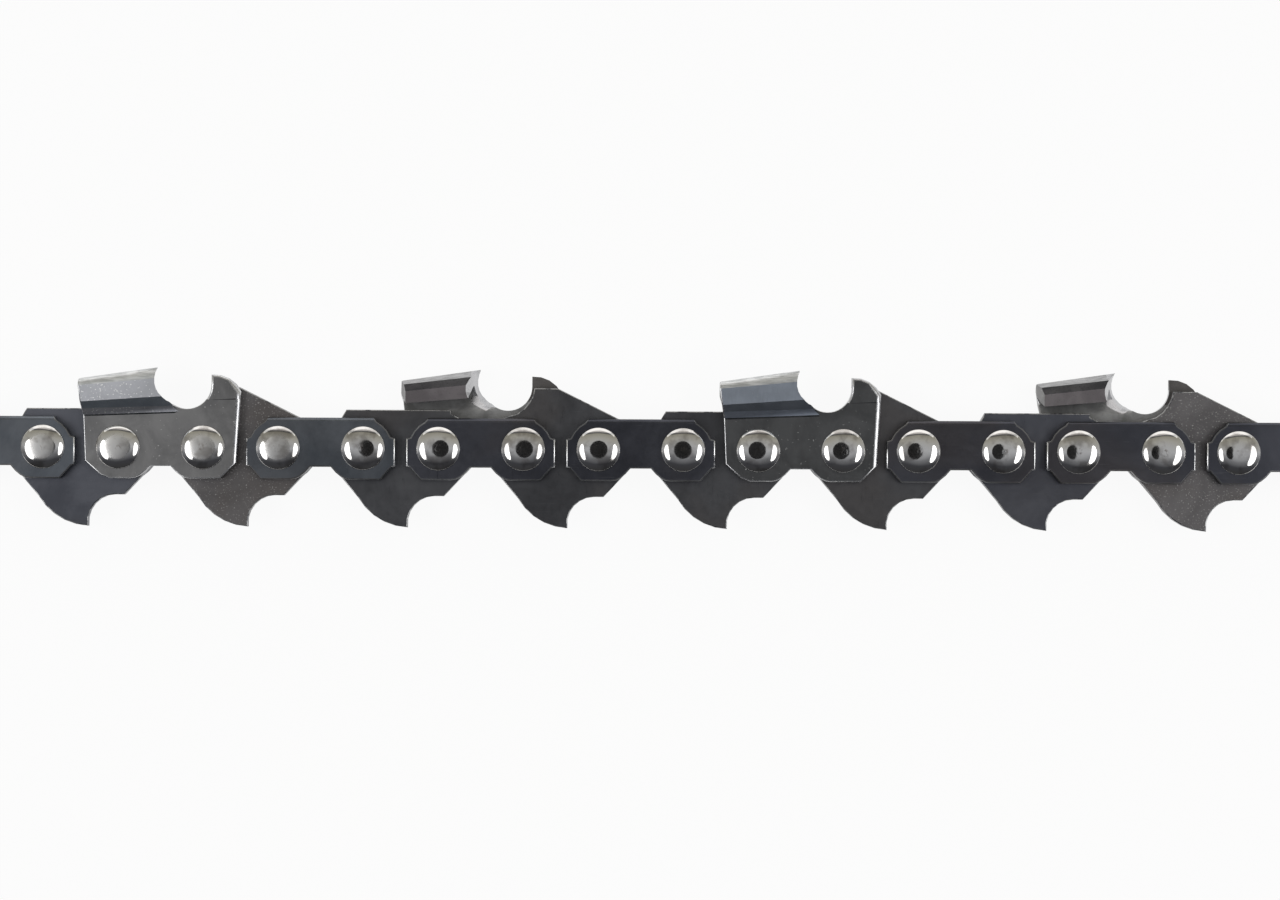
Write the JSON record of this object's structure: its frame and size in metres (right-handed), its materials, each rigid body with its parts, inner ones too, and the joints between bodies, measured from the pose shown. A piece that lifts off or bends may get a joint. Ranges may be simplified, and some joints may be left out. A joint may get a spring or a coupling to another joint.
{
  "type": "chainsaw chain",
  "caption": "Straight length of low-profile saw chain: hooked drive links, tie straps and chromed cutters of both hands, hinged on domed rivets.",
  "frame": {"origin": "on the floor under the middle of the chain's box, at the middle side link, with the chain lying on its side", "axes": "+X along the chain in its cutting direction, +Y from the rivets towards the cutting edges, +Z along the rivets' axes"},
  "size_m": [0.1664, 0.0185, 0.0063],
  "materials": {
    "tie_strap_steel": "dark blued, satin",
    "drive_link_steel": "dark blued, oiled satin",
    "cutter_chrome": "hard chrome, satin",
    "rivet_steel": "polished, domed by spinning"
  },
  "bodies": {
    "side_0": {"tie_strap_0_right": "tie_strap_steel", "tie_strap_0_left": "tie_strap_steel", "rivet_01": "rivet_steel"},
    "side_1": {"right_cutter_1": "cutter_chrome", "tie_strap_1_left": "tie_strap_steel", "rivet_02": "rivet_steel", "rivet_03": "rivet_steel"},
    "side_2": {"tie_strap_2_right": "tie_strap_steel", "tie_strap_2_left": "tie_strap_steel", "rivet_04": "rivet_steel", "rivet_05": "rivet_steel"},
    "side_3": {"tie_strap_3_right": "tie_strap_steel", "left_cutter_3": "cutter_chrome", "rivet_06": "rivet_steel", "rivet_07": "rivet_steel"},
    "side_4": {"tie_strap_4_right": "tie_strap_steel", "tie_strap_4_left": "tie_strap_steel", "rivet_08": "rivet_steel", "rivet_09": "rivet_steel"},
    "side_5": {"right_cutter_5": "cutter_chrome", "tie_strap_5_left": "tie_strap_steel", "rivet_10": "rivet_steel", "rivet_11": "rivet_steel"},
    "side_6": {"tie_strap_6_right": "tie_strap_steel", "tie_strap_6_left": "tie_strap_steel", "rivet_12": "rivet_steel", "rivet_13": "rivet_steel"},
    "side_7": {"tie_strap_7_right": "tie_strap_steel", "left_cutter_7": "cutter_chrome", "rivet_14": "rivet_steel", "rivet_15": "rivet_steel"},
    "side_8": {"tie_strap_8_right": "tie_strap_steel", "tie_strap_8_left": "tie_strap_steel", "rivet_16": "rivet_steel"},
    "drive_1": {"drive_link_1": "drive_link_steel"},
    "drive_2": {"bumper_drive_link_2": "drive_link_steel"},
    "drive_3": {"drive_link_3": "drive_link_steel"},
    "drive_4": {"bumper_drive_link_4": "drive_link_steel"},
    "drive_5": {"drive_link_5": "drive_link_steel"},
    "drive_6": {"bumper_drive_link_6": "drive_link_steel"},
    "drive_7": {"drive_link_7": "drive_link_steel"},
    "drive_8": {"bumper_drive_link_8": "drive_link_steel"}
  },
  "joints": [
    {"name": "hinge_01", "type": "hinge", "parent": "drive_1", "child": "side_0", "pos_m": [-0.06961, -0.00004, 0.00313], "axis": [0, 0, 1], "range_deg": [-15, 35]},
    {"name": "hinge_02", "type": "hinge", "parent": "side_1", "child": "drive_1", "pos_m": [-0.06087, -0.00004, 0.00313], "axis": [0, 0, 1], "range_deg": [-10, 35]},
    {"name": "hinge_03", "type": "hinge", "parent": "drive_2", "child": "side_1", "pos_m": [-0.05097, -0.00004, 0.00313], "axis": [0, 0, 1], "range_deg": [-15, 35]},
    {"name": "hinge_04", "type": "hinge", "parent": "side_2", "child": "drive_2", "pos_m": [-0.04222, -0.00004, 0.00313], "axis": [0, 0, 1], "range_deg": [-15, 35]},
    {"name": "hinge_05", "type": "hinge", "parent": "drive_3", "child": "side_2", "pos_m": [-0.03234, -0.00004, 0.00313], "axis": [0, 0, 1], "range_deg": [-15, 35]},
    {"name": "hinge_06", "type": "hinge", "parent": "side_3", "child": "drive_3", "pos_m": [-0.02358, -0.00004, 0.00313], "axis": [0, 0, 1], "range_deg": [-10, 35]},
    {"name": "hinge_07", "type": "hinge", "parent": "drive_4", "child": "side_3", "pos_m": [-0.0137, -0.00004, 0.00313], "axis": [0, 0, 1], "range_deg": [-15, 35]},
    {"name": "hinge_08", "type": "hinge", "parent": "side_4", "child": "drive_4", "pos_m": [-0.00494, -0.00004, 0.00313], "axis": [0, 0, 1], "range_deg": [-15, 35]},
    {"name": "hinge_09", "type": "hinge", "parent": "side_4", "child": "drive_5", "pos_m": [0.00494, -0.00004, 0.00313], "axis": [0, 0, 1], "range_deg": [-35, 15]},
    {"name": "hinge_10", "type": "hinge", "parent": "drive_5", "child": "side_5", "pos_m": [0.0137, -0.00004, 0.00313], "axis": [0, 0, 1], "range_deg": [-35, 10]},
    {"name": "hinge_11", "type": "hinge", "parent": "side_5", "child": "drive_6", "pos_m": [0.02358, -0.00004, 0.00313], "axis": [0, 0, 1], "range_deg": [-35, 15]},
    {"name": "hinge_12", "type": "hinge", "parent": "drive_6", "child": "side_6", "pos_m": [0.03234, -0.00004, 0.00313], "axis": [0, 0, 1], "range_deg": [-35, 15]},
    {"name": "hinge_13", "type": "hinge", "parent": "side_6", "child": "drive_7", "pos_m": [0.04222, -0.00004, 0.00313], "axis": [0, 0, 1], "range_deg": [-35, 15]},
    {"name": "hinge_14", "type": "hinge", "parent": "drive_7", "child": "side_7", "pos_m": [0.05097, -0.00004, 0.00313], "axis": [0, 0, 1], "range_deg": [-35, 10]},
    {"name": "hinge_15", "type": "hinge", "parent": "side_7", "child": "drive_8", "pos_m": [0.06087, -0.00004, 0.00313], "axis": [0, 0, 1], "range_deg": [-35, 15]},
    {"name": "hinge_16", "type": "hinge", "parent": "drive_8", "child": "side_8", "pos_m": [0.06961, -0.00004, 0.00313], "axis": [0, 0, 1], "range_deg": [-35, 15]}
  ]
}
